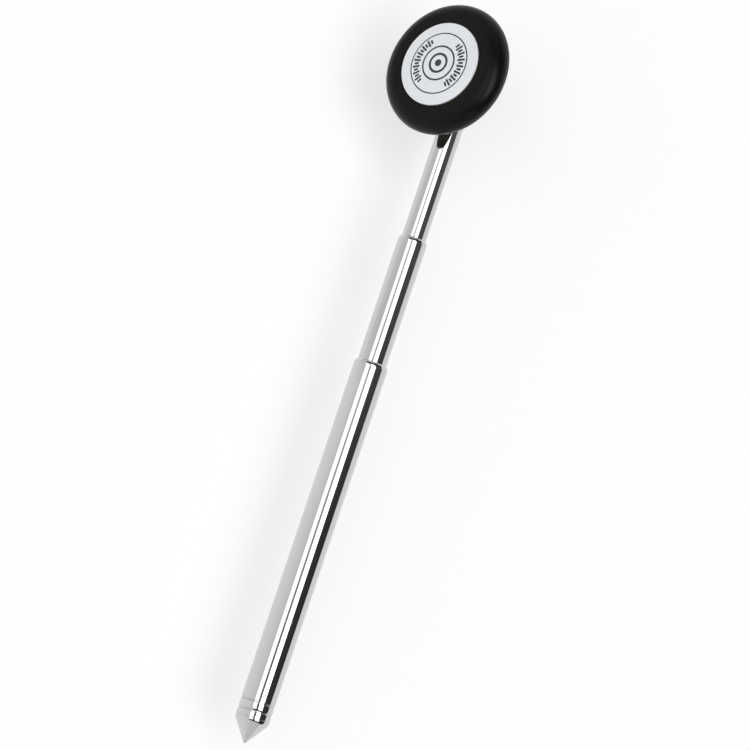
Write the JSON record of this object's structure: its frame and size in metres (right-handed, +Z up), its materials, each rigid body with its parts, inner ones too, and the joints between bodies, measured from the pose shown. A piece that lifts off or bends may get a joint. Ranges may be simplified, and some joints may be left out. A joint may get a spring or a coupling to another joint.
{
  "type": "reflex hammer",
  "caption": "Babinski reflex hammer: rubber-rimmed disc head on a tilting hinge, telescoping chromed tube handle that slides and turns, pointed end.",
  "frame": {"origin": "on the surface the hammer lies on, below the middle of its length and width", "axes": "+Y along the handle from the pointed tip to the head, +Z up from the surface; the hammer leans on the rim of its ring, so the badge faces up and towards -X"},
  "size_m": [0.0372, 0.2472, 0.0303],
  "materials": {
    "chrome_tube": "bright chrome plate on drawn brass tube",
    "chrome_turned": "bright chrome plate on turned brass",
    "brass_bush": "turned, unplated",
    "bronze_spring": "rolled phosphor bronze strip",
    "steel_fastener": "zinc plated",
    "nylon_washer": "punched nylon sheet",
    "black_rubber": "moulded, smooth satin",
    "badge_enamel": "white printed disc under a low dome of clear resin",
    "foam_tape": "double-sided tape"
  },
  "bodies": {
    "handle": {"outer_tube": "chrome_tube", "tip_cap": "chrome_turned"},
    "middle_slider": {"middle_friction_spring": "bronze_spring"},
    "middle_section": {"middle_tube": "chrome_tube", "middle_stop_bush": "brass_bush"},
    "inner_slider": {"inner_friction_spring": "bronze_spring"},
    "inner_section": {"inner_tube": "chrome_tube", "inner_stop_bush": "brass_bush", "fork_rivet": "chrome_turned", "fork": "chrome_turned", "hinge_screw": "chrome_turned", "hinge_nut": "chrome_turned", "hinge_spring_washer": "steel_fastener", "friction_washer_left": "nylon_washer", "friction_washer_right": "nylon_washer"},
    "head": {"head_lug": "chrome_turned", "lug_lock_washer": "steel_fastener", "lug_nut": "steel_fastener", "hub_disc": "chrome_turned", "rubber_ring": "black_rubber", "badge": "badge_enamel", "badge_adhesive": "foam_tape"}
  },
  "joints": [
    {"name": "middle_slide", "type": "slide", "parent": "handle", "child": "middle_slider", "axis": [0, 1, 0], "range_m": [-0.0419, 0.0525]},
    {"name": "middle_spin", "type": "hinge", "parent": "middle_slider", "child": "middle_section", "pos_m": [0.0072, 0, 0.0056], "axis": [0, 1, 0], "continuous": true},
    {"name": "inner_slide", "type": "slide", "parent": "middle_section", "child": "inner_slider", "axis": [0, 1, 0], "range_m": [-0.0456, 0.0325]},
    {"name": "inner_spin", "type": "hinge", "parent": "inner_slider", "child": "inner_section", "pos_m": [0.0072, 0, 0.0056], "axis": [0, 1, 0], "continuous": true},
    {"name": "head_tilt", "type": "hinge", "parent": "inner_section", "child": "head", "pos_m": [0.0072, 0.10165, 0.0056], "axis": [-0.7997, 0, -0.6004], "range_deg": [0, 90]}
  ]
}
